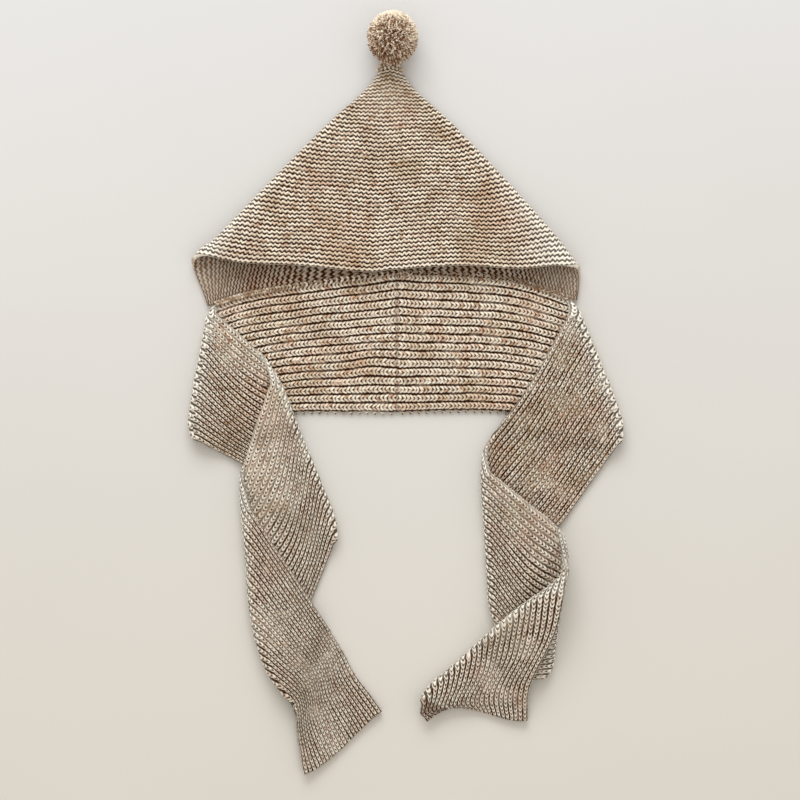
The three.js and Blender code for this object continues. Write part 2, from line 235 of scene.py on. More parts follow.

# The yarn.
# All of it is one worsted wool, plied from a cream strand and a tan one, so that every
# stitch is speckled. A stitch is painted bright on top, and painted shade darkens the gaps
# between stitches.
cream = linear(255, 242, 220)
tan = linear(200, 156, 122)
# Painted shade for the gaps between stitches, painted shade for hollows, and a painted highlight
# cream.
painted_gap_shade = linear(50, 25, 5)
painted_shade_brown = linear(86, 42, 4)
painted_highlight_cream = linear(255, 249, 234)
knit_depth = 0.0013
leg_slant = 1.7
nick_depth = 0.18
wool_finish = {
    "Roughness": 0.92,
    "Specular IOR Level": 0.02,
    "Sheen Weight": 0.08,
    "Sheen Roughness": 0.45,
    "Sheen Tint": (1.0, 0.82, 0.62, 1.0),
}


def chance(cell):
    """An even random number for each cell."""
    return cell.node("ShaderNodeTexWhiteNoise", {"noise_dimensions": "2D"}, {"Vector": cell})


def yarn_colours(one, cell, strands):
    """The plied yarn's own colour. The place on the piece gives the slow changes of the
    dye, the cell's number gives each stitch its shade, and the strands its speckle."""
    speckle = strands.noise(1.0, 2.0, 0.6)
    run_of_yarn = strands.noise(0.22, 1.0)
    share = speckle * 0.9 + chance(cell) * 0.3 + run_of_yarn * 0.3
    base = share.ramp(0.46, 0.8).mix(tan, cream)
    brown_specks = one.noise(85.0, 3.0, 0.6).ramp(0.5, 0.7)
    tan_patches = one.noise(30.0, 2.0, 0.5).ramp(0.45, 0.7)
    pink_patches = one.noise(19.0, 1.0, 0.5).ramp(0.52, 0.66)
    olive_patches = one.noise(23.0, 0.0, 0.5).ramp(0.54, 0.7)
    base = (brown_specks * 0.26).mix(base, linear(148, 106, 74))
    base = (tan_patches * 0.25).mix(base, linear(172, 128, 82))
    base = (pink_patches * 0.3).mix(base, linear(228, 182, 154))
    return (olive_patches * 0.2).mix(base, linear(192, 166, 114))


def finish_knit(shader, colour, open_share, relief):
    """Paints shade into the gaps, paints highlights and shade where the marks say, and gives the
    surface its relief.
    """
    # The highlight mark paints highlights: it lightens the gaps a little and turns the colour towards
    # a near-white cream.
    pale = relief.mark("painted_highlight")
    open_share = 1.0 - (1.0 - open_share) * (1.0 - pale * 0.12)
    shaded = open_share.mix(painted_gap_shade, (pale * 0.97).mix(colour, painted_highlight_cream))
    # The shade mark paints shade in a dark brown.
    (relief.mark("painted_shade") * 0.85).mix(shaded, painted_shade_brown).feed(shader, "Base Color")
    relief.bump(1.0, knit_depth).feed(shader, "Normal")
    set_inputs(shader, wool_finish)


def rib_material(name, line_from, line_to):
    """Columns of stitches, with painted shade in a line between the columns, in a small hole in
    the middle of each stitch and between two stitches. The cloth's own map counts columns
    across and stitches along, from the middle of the scarf outwards."""
    material, shader, place, cloth = new_material(name)
    # Columns and stitches wander a little, and the two legs of a stitch slant to a V.
    column = cloth.part(0)
    shifted = column + (place.noise(260.0, 1.0) - 0.5) * 0.2
    stitch = abs(cloth.part(1)) + (place.noise(170.0, 1.0) - 0.5) * 0.9
    side = abs(shifted.fract() - 0.5)
    count = stitch + side * leg_slant
    row = count.fract()
    # A cell is one leg of one stitch. The two halves of the scarf draw their own numbers.
    half = shifted.math("FLOOR", shifted * 2.0)
    half_of_scarf = cloth.part(1).math("SIGN", cloth.part(1)) * 37.0
    cell = place.vector(half, count.math("FLOOR", count) + half_of_scarf)
    luck = chance(place.vector(cell.part(1), cell.part(0)))
    between_legs = abs(row * 2.0 - 1.0) ** 2.2
    nick = between_legs * (luck * 0.4 + nick_depth)
    crest = 1.0 - abs(side * 4.0 - 1.0) ** 2.0
    # The painted shade in the line between two columns is broken, and fades where the ribs lie slack.
    opened = place.mark("opened")
    slack = place.noise(34.0, 1.0).ramp(0.3, 0.5) * 0.3 + 0.7
    broken = place.noise(110.0, 2.0) * 1.5 + 0.45
    line_share = ((opened * 0.8 + 0.2) * slack * broken).clamp()
    line = (side + between_legs * 0.08 + luck * 0.04).ramp(line_from, line_to) * line_share
    hole_share = place.noise(150.0, 1.0).ramp(0.25, 0.45)
    hole = (1.0 - side.ramp(0.07, 0.25)) * between_legs.ramp(0.15, 0.7) * hole_share
    shown = (1.0 - line) * (1.0 - hole) * (1.0 - nick)
    relief = shown * (crest * 0.4 + 0.6)
    along_strand = stitch * 1.7 + side * 2.0 + half_of_scarf
    strands = place.vector(half * 3.1 + row * 0.8, along_strand, column * 0.3)
    colour = yarn_colours(place, cell, strands)
    # Away from its crest each leg is painted browner: painted shade on its sides.
    colour = ((1.0 - crest.ramp(0.0, 0.8)) * 0.26).mix(colour, linear(152, 110, 76))
    finish_knit(shader, colour, shown, relief)
    return material


def garter_material(name):
    """Ridges of garter stitch. The cloth's own map counts stitches along a ridge and
    ridges from the peak outwards; each ridge waves once a stitch."""
    material, shader, place, cloth = new_material(name)
    wobble = place.noise(230.0, 1.0)
    stitch = cloth.part(0) + (wobble - 0.5) * 0.9
    wave = (stitch * (2 * math.pi)).cos()
    count = cloth.part(1) + wave * 0.16 + (place.noise(170.0, 1.0) - 0.5) * 0.4
    ridge = count.fract()
    crest = 1.0 - abs(ridge * 2.0 - 1.0) ** 1.6
    relief = crest * (0.82 + wave * 0.18)
    uneven = place.vector(stitch * 0.16, cloth.part(1) * 0.8).noise(1.0, 2.0)
    cell = place.vector(stitch.math("FLOOR", stitch), count.math("FLOOR", count * 2.0))
    luck = chance(place.vector(count.math("FLOOR", count + 0.5), stitch.math("FLOOR", stitch)))
    # The painted shade in the gap between two ridges is uneven, and fainter at the top of a wave.
    opened = place.mark("opened")
    gap_share = (uneven.ramp(0.25, 0.6) * 0.5 + luck * 0.5 + 0.56 - wave * 0.3).clamp() * opened
    strands = place.vector(stitch * 1.5, count * 2.2, 0.0)
    colour = yarn_colours(place, cell, strands)
    # Away from the crest of a ridge the yarn is painted browner: painted shade.
    colour = ((1.0 - crest.ramp(0.4, 0.95)) * 0.3).mix(colour, linear(152, 110, 74))
    shown = 1.0 - (1.0 - crest.ramp(0.34, 0.9)) * gap_share
    finish_knit(shader, colour, shown, relief)
    return material


# The scarf, as it lies.
# One long strip knitted in single rib, 105 mm wide and 1240 mm long. Its middle is sewn to
# the hood, and its two ends, the ties, are turned over themselves three and four times.
scarf_width = 0.105
tie_length = 0.62
scarf_wall = 0.0045
layer_pitch = scarf_wall + gap_between_pieces
shoulder = 1.7 * scarf_wall
slope_length = 4.5 * scarf_wall
fold_reach = 6 * scarf_wall
fold_share_limit = 0.42
fold_corner = 0.005
fold_corner_start = 0.78
cloth_columns = 96
band_ribs = 16
tie_ribs = 24
stitch_length = 0.0037
tie_stitch_length = 0.0039
rows_a_stitch = 3
row_step = stitch_length / rows_a_stitch
outline_steps = 12


def section(run, heading, slant, span, **more):
    """A line across a tie: its run from the line before, as a share of the tie's length,
    and that run's heading; the line's own slant and its span in widths of the scarf. More
    says how its edges bow and rise, and whether the tie turns over there, and how high."""
    flat = {"bow_hood": 0, "bow_free": 0, "fold": False, "loft": 0, "rise_hood": 0, "rise_free": 0}
    return {**flat, "run": run, "heading": heading, "slant": slant, "span": span, **more}


middle_section = section(0, 0, 90, 1.22)
left_tie = [
    middle_section,
    section(0.143, 184, 91, 1.1),
    section(0.086, 189, 89, 1.09),
    section(0.072, 196, 80.5, 1.12, bow_free=0.012, fold=True, loft=1.1),
    section(0.099, -33, 98.5, 1.23, rise_hood=0.3),
    section(0.103, -37, 112, 1.49, fold=True, loft=0.5, rise_hood=0.4),
    section(0.108, -111, 108.5, 1.57),
    section(0.113, -110, 101, 1.77, bow_free=0.058, fold=True, loft=1.2, rise_hood=0.2),
    section(0.142, -55, 64.5, 0.73, rise_free=1.2),
    section(0.061, -70, 51.5, 0.76, rise_free=1.3),
    section(0.062, -65, 39, 0.87, bow_hood=-0.01, bow_free=0.05, rise_hood=0.3, rise_free=0.8),
]
right_tie = [
    middle_section,
    section(0.166, -2, 89, 1.15),
    section(0.142, -13, 111, 1.22, bow_free=0.01, fold=True, loft=0.9),
    section(0.157, -123, 103, 1.24, rise_hood=0.3),
    section(0.095, -128.5, 100.5, 1.23, rise_hood=0.6),
    section(0.0615, -119.5, 93.5, 1.35, fold=True, loft=0.6, rise_hood=1),
    section(0.078, -42, 84, 1.27, rise_hood=2.6),
    section(0.055, -38, 79, 1.135, rise_hood=3.2),
    section(0.031, -68, 82.5, 1.025, fold=True, loft=0.4, rise_hood=3.4),
    section(0.103, 193, 37, 1.62, bow_hood=0.045, bow_free=-0.01, fold=True, loft=0.6,
            rise_hood=3.4, rise_free=0.3),
    section(0.051, -98, 28, 1.32, rise_hood=1.4, rise_free=0.9),
    section(0.0475, -113, 14, 0.99, rise_hood=0.6, rise_free=1),
    section(0.034, -86, 0.5, 0.87, bow_hood=0.02, bow_free=-0.15, rise_hood=0.4, rise_free=1),
]


def polar(length, degrees):
    angle = math.radians(degrees)
    return length * np.array([math.cos(angle), math.sin(angle)])


def lay_out(rows):
    """Cuts a tie at its folds into runs that lie one over the other."""
    middle = nape + np.array([0, -middle_section["span"] * scarf_width / 2])
    laid = []
    for row in rows:
        middle = middle + polar(row["run"] * tie_length, row["heading"])
        half = polar(row["span"] * scarf_width / 2, row["slant"])
        onwards = polar(1, row["slant"] + 90)
        onwards = onwards * np.sign(onwards @ polar(1, row["heading"])) * row["span"] * scarf_width
        shape = [middle - half, middle + half, onwards * row["bow_hood"], onwards * row["bow_free"]]
        laid.append({**row, "shape": np.array(shape)})
    runs = []
    start = 0
    for number, row in enumerate(laid):
        if number > 0 and (row["fold"] or number == len(laid) - 1):
            runs.append({"sections": laid[start:number + 1]})
            start = number
    for number, run in enumerate(runs):
        shapes = [row["shape"] for row in run["sections"]]
        shapes = [2 * shapes[0] - shapes[1], *shapes, 2 * shapes[-1] - shapes[-2]]
        run["shapes"] = np.array(shapes)
        run["side"] = 1 if number % 2 == 0 else -1
        shares = np.arange(outline_steps) / outline_steps
        run["outline"] = np.concatenate([
            lie_place(run, shares, 1 + 0 * shares),
            lie_place(run, 1 + 0 * shares, 1 - shares),
            lie_place(run, 1 - shares, 0 * shares),
            lie_place(run, 0 * shares, shares),
        ])
        if number < len(runs) - 1:
            turn = run["sections"][-1]
            free, hood = turn["shape"][:2]
            line = (hood - free) / np.linalg.norm(hood - free)
            travel = lie_place(run, 1.0, 0.5) - lie_place(run, 0.95, 0.5)
            outward = np.array([line[1], -line[0]])
            outward = outward * np.sign(outward @ travel)
            run["turn"] = {
                "outward": outward,
                "radius": (layer_pitch + turn["loft"] * scarf_wall) / 2,
                "line": (free, hood),
                "loft": turn["loft"],
            }
    return runs


def through_points(p, w):
    """A share w of the smooth way from the second to the third of four points."""
    t0 = 0.5 * (p[2] - p[0])
    t1 = 0.5 * (p[3] - p[1])
    cubic = (2 * p[1] - 2 * p[2] + t0 + t1) * w
    return ((cubic - 3 * p[1] + 3 * p[2] - 2 * t0 - t1) * w + t0) * w + p[1]


def lie_place(run, u, t):
    """Plan places at u along a run and t across it, 0 at the free edge."""
    u, t = np.broadcast_arrays(np.asarray(u, float), np.asarray(t, float))
    last = len(run["sections"]) - 1
    at = np.clip(u * last, 0, last)
    first = np.minimum(np.floor(at).astype(int), last - 1)
    w = (at - first)[..., None]
    mix = np.stack([1 - t, t, 6.75 * t * t * (1 - t), 6.75 * t * (1 - t) ** 2], -1)
    p = [np.einsum("...k,...kc->...c", mix, run["shapes"][first + step]) for step in range(4)]
    return through_points(p, w)


def along_run(run, u, column):
    values = [row[column] for row in run["sections"]]
    return np.interp(u * (len(values) - 1), np.arange(len(values)), values)


def distance_to_line(p, a, b):
    share = np.clip((p - a) @ (b - a) / ((b - a) @ (b - a)), 0, 1)
    return np.linalg.norm(p - a - share[..., None] * (b - a), axis=-1)


def distance_outside(p, outline):
    """How far places lie outside a closed outline, and 0 inside it."""
    inside = np.zeros(p.shape[:-1], bool)
    nearest = np.full(p.shape[:-1], np.inf)
    for a, b in zip(outline, np.roll(outline, -1, axis=0)):
        nearest = np.minimum(nearest, distance_to_line(p, a, b))
        if a[1] != b[1]:
            crossing = (a[1] > p[..., 1]) != (b[1] > p[..., 1])
            left = p[..., 0] < a[0] + (b[0] - a[0]) * (p[..., 1] - a[1]) / (b[1] - a[1])
            inside = inside ^ (crossing & left)
    return np.where(inside, 0, nearest)


def smooth(x):
    x = np.clip(x, 0, 1)
    return x * x * (3 - 2 * x)


def lie_height(runs, number, p):
    """The height of a run's middle surface, over the runs and folds that lie below it."""
    height = np.full(p.shape[:-1], scarf_wall / 2)
    for run in runs[:number]:
        past = (distance_outside(p, run["outline"]) - shoulder) / slope_length
        height = height + layer_pitch * (1 - smooth(past))
        reach = distance_to_line(p, *run["turn"]["line"]) / fold_reach
        height = height + run["turn"]["loft"] * scarf_wall * np.exp(-reach * reach)
    return height


def edge_rise(run, u, t):
    hood_side = np.maximum(0, 2 * t - 1) ** 2 * along_run(run, u, "rise_hood")
    free_side = np.maximum(0, 1 - 2 * t) ** 2 * along_run(run, u, "rise_free")
    return (hood_side + free_side) * scarf_wall


def share_from_fold(run, end, t, outward, length):
    """The share of a run that reaches a length back from the fold at one end of it."""
    step = 0.01
    start = 1 - step if end == 1 else step
    slope = (lie_place(run, end, t) - lie_place(run, start, t)) @ outward / step
    return np.minimum(length / np.abs(slope), fold_share_limit)


def corner_inset(t):
    """The corners at a fold are round: near its edges the cloth stays short of the line."""
    past = np.maximum(0, np.abs(2 * t - 1) - fold_corner_start)
    return fold_corner * past ** 2 / (1 - fold_corner_start) ** 2


def flat_shares(runs, number, t, rounded=True):
    """The shares of a run between which it lies flat, short of its turns."""
    before = runs[number - 1]["turn"] if number > 0 else None
    after = runs[number].get("turn")
    reach = [scarf_wall / 2 + turn["radius"] if turn else 0 for turn in (before, after)]
    reach = [length + rounded * corner_inset(t) for length in reach]
    low = share_from_fold(runs[number], 0, t, before["outward"], reach[0]) if before else 0 * t
    high = 1 - share_from_fold(runs[number], 1, t, after["outward"], reach[1]) if after else 1 + 0 * t
    return low, high


def tie_surface(runs, even, crowding):
    """The middle surface of one tie: rows of places from the middle of the scarf to the
    end, one every third of a stitch, and the run that each row belongs to. Crowding says
    how much the ribs of each run press together towards the free edge."""
    rows = []
    owners = []
    dense = np.linspace(0, 1, 80)
    for number, run in enumerate(runs):
        low, high = flat_shares(runs, number, even)
        path = lie_place(run, low + (high - low) * dense[:, None], even)
        reach = np.linalg.norm(np.diff(path, axis=0), axis=-1).mean(1)
        reach = np.concatenate([[0], np.cumsum(reach)])
        steps = max(6, round(reach[-1] / row_step))
        for share in np.interp(np.linspace(0, reach[-1], steps + 1), reach, dense):
            across = even - crowding[number] * math.sin(math.pi * share) * even * (1 - even)
            low, high = flat_shares(runs, number, across)
            u = low + (high - low) * share
            plan = lie_place(run, u, across)
            height = lie_height(runs, number, plan) + edge_rise(run, u, across)
            rows.append(np.column_stack([plan, height]))
            owners.append(number)
        turn = run.get("turn")
        bend_steps = max(4, round(math.pi * turn["radius"] / row_step)) if turn else 0
        for angle in np.pi * np.arange(1, bend_steps) / max(1, bend_steps):
            inset = scarf_wall / 2 + turn["radius"] * (1 - math.sin(angle)) + corner_inset(even)
            below = angle <= math.pi / 2
            own = run if below else runs[number + 1]
            share = share_from_fold(own, 1 if below else 0, even, turn["outward"], inset)
            u = 1 - share if below else share
            plan = lie_place(own, u, even)
            height = lie_height(runs, number + (0 if below else 1), plan) + edge_rise(own, u, even)
            turned = turn["radius"] * ((1 if below else -1) - math.cos(angle))
            rows.append(np.column_stack([plan, height + turned]))
            owners.append(number + 0.5)
    return np.array(rows), np.array(owners)


def unit(vectors):
    return vectors / np.maximum(np.linalg.norm(vectors, axis=-1, keepdims=True), 1e-12)


def surface_normals(grid):
    """Unit normals of a grid of places, from its rows and columns."""
    rows = np.gradient(grid, axis=0)
    columns = np.gradient(grid, axis=1)
    return unit(np.cross(columns, rows))


def mesh_piece(name, places, faces, uvs=None, flat=(), marks=None):
    """A new object at the origin from arrays; uvs has one row for each face corner, and
    marks one value for each place. Nothing reaches into the table."""
    places = np.array(places, float)
    places[:, 2] = np.maximum(places[:, 2], table_clearance)
    mesh = bpy.data.meshes.new(name)
    mesh.vertices.add(len(places))
    mesh.vertices.foreach_set("co", np.asarray(places, np.float32).ravel())
    faces = np.asarray(faces)
    sizes = faces.shape[1]
    mesh.loops.add(faces.size)
    mesh.loops.foreach_set("vertex_index", faces.ravel().astype(np.int32))
    mesh.polygons.add(len(faces))
    mesh.polygons.foreach_set("loop_start", np.arange(0, faces.size, sizes, dtype=np.int32))
    if uvs is not None:
        layer = mesh.uv_layers.new(name="cloth")
        layer.data.foreach_set("uv", np.asarray(uvs, np.float32).ravel())
    for mark, values in (marks or {}).items():
        attribute = mesh.attributes.new(mark, "FLOAT", "POINT")
        attribute.data.foreach_set("value", np.asarray(values, np.float32).ravel())
    mesh.update(calc_edges=True)
    smooth_faces = np.ones(len(faces), bool)
    smooth_faces[list(flat)] = False
    mesh.polygons.foreach_set("use_smooth", smooth_faces)
    piece = bpy.data.objects.new(name, mesh)
    bpy.context.collection.objects.link(piece)
    return piece


left_runs = lay_out(left_tie)
right_runs = lay_out(right_tie)
across = np.arange(cloth_columns + 1) / cloth_columns
left_crowding = [0, 0.45, 0.4, 0.1]
right_crowding = [0, 0.1, 0.35, 0, 0.2]
left_rows, left_owners = tie_surface(left_runs, across, left_crowding)
right_rows, right_owners = tie_surface(right_runs, across, right_crowding)
strip = np.concatenate([left_rows[:0:-1], right_rows])
middle_row = len(left_rows) - 1
owner = np.concatenate([-left_owners[:0:-1], right_owners])
first_left_fold = int(np.argmax(owner >= -0.5))
first_right_fold = int(len(owner) - np.argmax(owner[::-1] <= 0.5))


def soften(grid, rounds):
    """Evens out a grid of places."""
    for _ in range(rounds):
        inner = grid.copy()
        inner[1:-1] = 0.5 * grid[1:-1] + 0.25 * (grid[:-2] + grid[2:])
        grid = inner
        inner = grid.copy()
        inner[:, 1:-1] = 0.5 * grid[:, 1:-1] + 0.25 * (grid[:, :-2] + grid[:, 2:])
        grid = inner
    return grid


seed = np.random.default_rng(7)


def slow_noise(shape, cells):
    """Smooth random values from -1 to 1 over a grid."""
    coarse = seed.uniform(-1, 1, (cells[0] + 3, cells[1] + 3))
    rows = np.linspace(0, cells[0], shape[0])
    columns = np.linspace(0, cells[1], shape[1])
    r = np.floor(rows).astype(int)
    c = np.floor(columns).astype(int)
    fr = smooth(rows - r)[:, None]
    fc = smooth(columns - c)[None, :]
    upper = coarse[r][:, c] * (1 - fc) + coarse[r][:, c + 1] * fc
    lower = coarse[r + 1][:, c] * (1 - fc) + coarse[r + 1][:, c + 1] * fc
    return upper * (1 - fr) + lower * fr


def near_spot(places, x, y, reach):
    """1 at pixel x, y of the view, and less with the distance, in reaches."""
    away = (places[..., :2] - on_photo(x, y)) / reach
    return np.exp(-(away ** 2).sum(-1))


# The ribs don't lie quite straight. Where the hood was last pulled, just left of the
# middle, the lower ones arch upwards, and beside the arch they dip.
arch_height = 0.0027
arch_reach = np.array([0.021, 0.018])
dip_depth = 0.0013
dip_reach = np.array([0.011, 0.016])
sideways_wander = 0.0006
upwards_wander = 0.0004
strip = soften(strip, 3)
band = np.abs(owner) < 0.25
strip[band, :, 1] += arch_height * near_spot(strip[band], 374, 362, arch_reach)
strip[band, :, 1] -= dip_depth * near_spot(strip[band], 399, 372, dip_reach)
lean = unit(np.gradient(strip, axis=1))
strip += lean * (sideways_wander * slow_noise(strip.shape[:2], (70, 8)))[..., None]
strip_up = surface_normals(strip)
strip_up = strip_up * np.sign(strip_up[middle_row, cloth_columns // 2, 2])
strip += strip_up * (upwards_wander * slow_noise(strip.shape[:2], (45, 5)))[..., None]

rib_height = 0.0008
leg_height = 0.0002
band_reach = 0.19


def count_stitches(ribs):
    """Stitches counted along each of so many ribs by its length, from the middle of the
    scarf: for each row, each rib and each place across that rib."""
    steps = cloth_columns // ribs
    rib_middle = strip[:, steps // 2::steps]
    travel = unit(np.gradient(rib_middle, axis=0))
    length = np.linalg.norm(np.diff(rib_middle, axis=0), axis=-1)
    length = np.concatenate([np.zeros((1, ribs)), np.cumsum(length, axis=0)])
    length = length - length[middle_row]
    in_rib = steps * np.arange(ribs)[:, None] + np.arange(steps + 1)
    ahead = np.einsum("rkjc,rkc->rkj", strip[:, in_rib] - rib_middle[:, :, None], travel)
    place = length[:, :, None] + ahead
    in_band = np.clip(place, -band_reach, band_reach)
    counts = in_band / stitch_length + (place - in_band) / tie_stitch_length
    shift = seed.uniform(0, 1, ribs)[None, :, None]
    return counts + shift * np.sign(place)


def knit_relief(counts):
    """Ribs, and in them the legs of the stitches, in relief."""
    rows, ribs, steps = counts.shape
    at = np.concatenate([counts[:, :, :-1].reshape(rows, -1), counts[:, -1, -1:]], axis=1)
    side = np.abs(across * ribs % 1 - 0.5)[None, :]
    phase = (np.abs(at) + leg_slant * side) % 1
    rib_round = np.sqrt(np.maximum(0, 1 - (2 * side) ** 2))
    legs = 1 - np.abs(2 * phase - 1) ** 2
    return (rib_height + leg_height * legs) * rib_round


# Some lengths lie slack, and their ribs close up and show no gaps: each line gives how
# far the ribs stand open from the free edge to the hood edge, for one layer of a tie.
open_left = [
    [0.9, 0.9, 0.9, 0.9, 0.9, 0.9],
    [1, 1, 1, 1, 0.6, 0.25],
    [1, 1, 0.85, 0.6, 0.35, 0.2],
    [1, 1, 0.4, 0.8, 0.9, 1],
]
open_right = [
    [0.9, 0.9, 0.9, 0.9, 0.9, 0.9],
    [0.75, 0.8, 0.75, 0.7, 0.8, 0.8],
    [1, 1, 1, 1, 0.6, 0.25],
    [0.5, 0.5, 0.5, 0.5, 0.5, 0.5],
    [1, 1, 0.8, 0.6, 0.8, 0.9],
]


def opened_at(table, at):
    """How far the ribs stand open at rows of the strip, from the lines of a table."""
    table = np.array(table)
    low = np.floor(at).astype(int)
    high = np.minimum(low + 1, len(table) - 1)
    share = (at - low)[:, None]
    lines = table[low] * (1 - share) + table[high] * share
    return np.array([np.interp(across, np.linspace(0, 1, len(line)), line) for line in lines])


opened = np.concatenate([
    opened_at(open_left, -owner[:middle_row]), opened_at(open_right, owner[middle_row:]),
])
opened = soften(opened[..., None], 12)[..., 0]

band_counts = count_stitches(band_ribs)
tie_counts = count_stitches(tie_ribs)
sewn = (np.arange(len(owner)) >= first_left_fold) & (np.arange(len(owner)) <= first_right_fold)
unevenness = 1 + 0.3 * slow_noise(strip.shape[:2], (110, 18))
relief = np.where(sewn[:, None], knit_relief(band_counts), knit_relief(tie_counts)) * unevenness
half_wall = scarf_wall / 2 - rib_height * 0.75

# Painted highlights lie on the folds and along the edges.
edge_width = 0.0017
rim_width = 0.0016
painted_highlight = np.zeros(strip.shape[:2])
for fold in np.unique(owner[owner % 1 != 0]):
    bend = np.flatnonzero(owner == fold)
    fold_width = 0.011 if abs(fold) < 1 else 0.006
    far = (np.arange(len(owner)) - bend.mean()) * row_step / fold_width
    painted_highlight = np.maximum(painted_highlight, np.exp(-far ** 2)[:, None])
# The band's lower edge gets less painted highlight than the ties' edges, and its sewn edge none.
from_edge = np.minimum(across, 1 - across) * scarf_width / edge_width
edge_share = np.where(band[:, None], np.where(across < 0.5, 0.45, 0), 1)
painted_highlight = np.maximum(painted_highlight, 0.6 * np.exp(-from_edge ** 2) * edge_share)
# The runs past the second fold get a faint painted highlight all over.
painted_highlight = np.maximum(painted_highlight, 0.2 * (np.abs(owner) > 1.5)[:, None])
# Painted shade lies along the hood's edge, and in the middle of the band.
painted_shade = 0.9 * np.exp(-((1 - across) * scarf_width / edge_width) ** 2)
from_middle = (np.arange(len(owner)) - middle_row) * row_step / 0.0014
painted_shade = band[:, None] * np.maximum(painted_shade, 0.5 * np.exp(-from_middle ** 2)[:, None])
# The near corner of the right tie's end curls up, and this is only painted: a painted
# highlight along the rim, and below it painted shade for the inside of the cloth.
rim_from, rim_to = on_photo(419, 692), on_photo(460, 713)
rim_way = unit(rim_to - rim_from)
from_rim = strip[..., :2] - rim_from
below_rim = from_rim @ np.array([rim_way[1], -rim_way[0]])
along_rim = from_rim @ rim_way
curled = smooth((0.037 - along_rim) / 0.004) * (owner > 3.4)[:, None]
painted_highlight = np.maximum(painted_highlight, 0.9 * curled * np.exp(-(below_rim / rim_width) ** 2))
painted_shade = np.maximum(painted_shade, 0.5 * curled * smooth((below_rim - 0.0012) / rim_width))


def close_holes(piece):
    """Closes the small corner holes that the arrays leave."""
    bpy.ops.object.select_all(action="DESELECT")
    piece.select_set(True)
    bpy.context.view_layer.objects.active = piece
    bpy.ops.object.mode_set(mode="EDIT")
    bpy.ops.mesh.select_all(action="SELECT")
    bpy.ops.mesh.remove_doubles(threshold=0.00001)
    bpy.ops.mesh.select_all(action="SELECT")
    bpy.ops.mesh.fill_holes(sides=4)
    bpy.ops.object.mode_set(mode="OBJECT")


# Loops of yarn stand out from the cloth's edges, so far at the hood's and the free edge.
band_loops = (0.0022, 0.0034)
tie_loops = (0.0009, 0.0009)


def strip_piece(name, first, last, counts, loop_sizes):
    """A closed length of the scarf, from row first to row last."""
    # On each rib the stitches are counted apart, so a place between two ribs has two counts.
    counts = counts[first:last + 1]
    near = counts[:, :, :-1].reshape(len(counts), -1)
    far = counts[:, :, 1:].reshape(len(counts), -1)
    middle = strip[first:last + 1]
    up = strip_up[first:last + 1]
    lift = (half_wall + relief[first:last + 1])[..., None]
    upper = middle + up * lift
    lower = middle - up * lift
    loops = [size * (0.5 + 0.5 * np.cos(np.pi * edge))[:, None]
             for size, edge in zip(loop_sizes, (far[:, -1], near[:, 0]))]
    hood_edge = middle[:, -1] + unit(middle[:, -1] - middle[:, -6]) * loops[0]
    free_edge = middle[:, 0] - unit(middle[:, 5] - middle[:, 0]) * loops[1]
    loop = np.concatenate([upper, hood_edge[:, None], lower[:, ::-1], free_edge[:, None]], axis=1)
    rows, columns = loop.shape[:2]
    # The cloth's map runs round the strip: upper side, hood edge, lower side, free edge.
    v = counts.shape[1]
    rib_place = across * v
    u = [v - rib_place[::-1], [v + 0.5], v + 1 + rib_place, [2 * v + 1.5, 2 * v + 2]]
    u = np.concatenate(u)
    index = np.arange(rows * columns).reshape(rows, columns)
    after = np.roll(index, -1, axis=1)
    quads = np.stack([index[:-1], after[:-1], after[1:], index[1:]], -1).reshape(-1, 4)
    hood_end, free_end = far[:, -1:], near[:, :1]
    y0 = np.concatenate([near, hood_end, hood_end, far[:, ::-1], free_end, free_end], axis=1)
    y1 = np.concatenate([far, hood_end, hood_end, near[:, ::-1], free_end, free_end], axis=1)
    corner = np.empty((rows - 1, columns, 4, 2))
    corners = ((u[:-1], y0[:-1]), (u[1:], y1[:-1]), (u[1:], y1[1:]), (u[:-1], y0[1:]))
    for number, (rib, stitch) in enumerate(corners):
        corner[..., number, 0] = rib
        corner[..., number, 1] = stitch
    # The two ends are closed, and cut square where the next piece goes on.
    faces = [quads]
    uvs = [corner.reshape(-1, 2)]
    flat = []
    length = columns // 2 - 2
    for row, turn_over, cut in ((0, True, first > 0), (rows - 1, False, last < len(strip) - 1)):
        a = index[row, :length + 1]
        b = index[row, columns // 2 + np.arange(length + 1)][::-1]
        end = np.stack([a[:-1], a[1:], b[1:], b[:-1]], -1)
        end = end[:, ::-1] if turn_over else end
        if cut:
            faces_before = sum(len(part) for part in faces)
            flat += range(faces_before, faces_before + len(end))
        faces.append(end)
        uvs.append(np.repeat(np.stack([u[:length], near[row]], -1), 4, axis=0))
    marks = {}
    for mark, grid in (("painted_highlight", painted_highlight), ("opened", opened), ("painted_shade", painted_shade)):
        part = grid[first:last + 1]
        marks[mark] = np.concatenate([part, part[:, -1:], part[:, ::-1], part[:, :1]], axis=1)
    places = loop.reshape(-1, 3)
    return mesh_piece(name, places, np.concatenate(faces), np.concatenate(uvs), flat, marks)


band_wool = rib_material("band_wool", 0.36, 0.47)
tie_wool = rib_material("tie_wool", 0.32, 0.43)
last_row = len(strip) - 1
scarf_pieces = [
    ("neck_band", first_left_fold, first_right_fold, band_counts, band_loops, band_wool, "laid"),
    ("left_tie", 0, first_left_fold, tie_counts, tie_loops, tie_wool, "folded"),
    ("right_tie", first_right_fold, last_row, tie_counts, tie_loops, tie_wool, "folded"),
]
for name, first, last, counts, loop_sizes, wool, held in scarf_pieces:
    piece = strip_piece(name, first, last, counts, loop_sizes)
    close_holes(piece)
    piece.data.materials.append(wool)
    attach(piece, "root")
    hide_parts("scarf")
    length = (last - first) / rows_a_stitch * stitch_length

